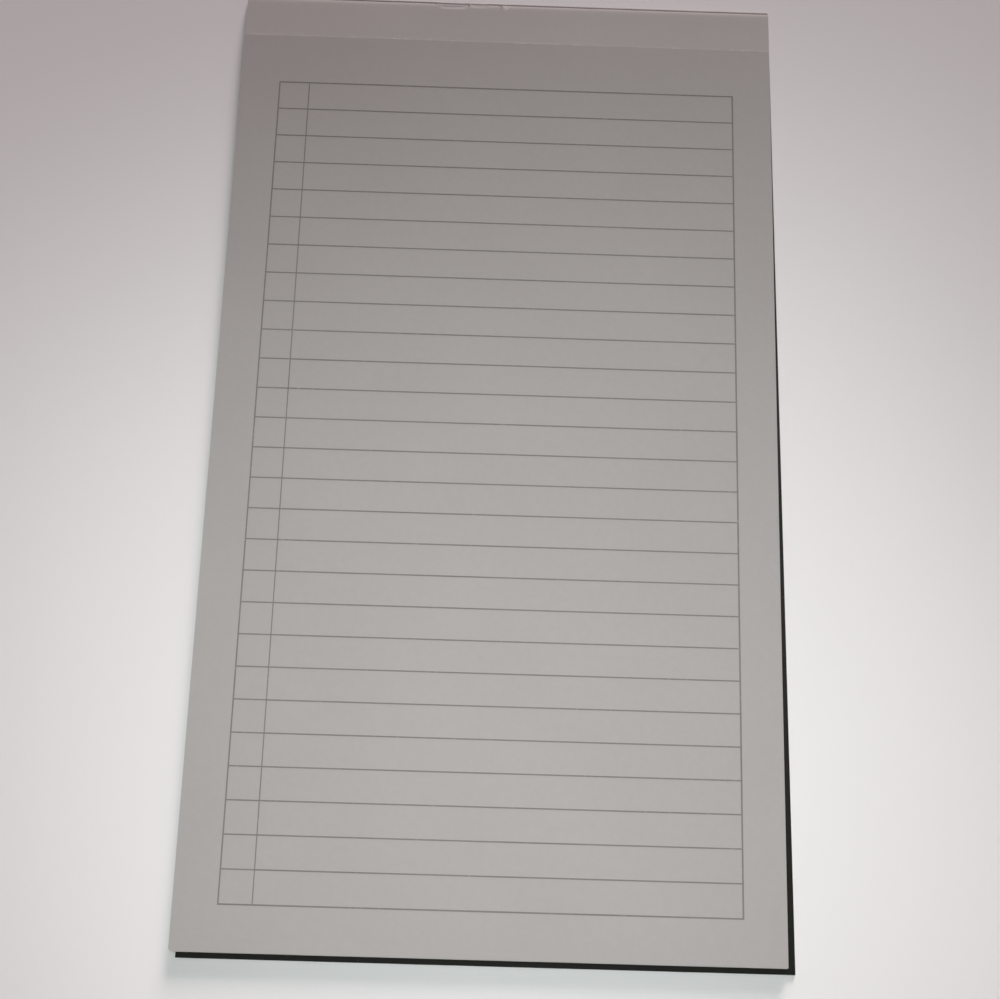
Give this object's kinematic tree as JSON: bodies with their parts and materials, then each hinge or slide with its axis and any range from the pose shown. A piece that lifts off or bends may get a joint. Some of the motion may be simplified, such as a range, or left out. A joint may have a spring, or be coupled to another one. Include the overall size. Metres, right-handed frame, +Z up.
{
  "type": "legal pad",
  "caption": "Tall glue-bound writing pad of white ruled sheets with a tear line below the head, on a black backing board that stands out a little at the foot and the right side.",
  "frame": {"origin": "middle of the box round the whole pad, on the surface that the board lies on", "axes": "+X across the page to its right edge, +Y up the page to the glued head, +Z up out of the page"},
  "size_m": [0.219, 0.3774, 0.0037],
  "materials": {
    "paper": "matt, uncoated white writing paper",
    "ink": "matt grey printing ink",
    "board": "matt black-faced chipboard",
    "glue": "dull film of padding glue, grey-brown with age"
  },
  "bodies": {
    "root": {"sheets": "paper", "ruling": "ink", "backing_board": "board", "head_glue": "glue"}
  },
  "joints": []
}
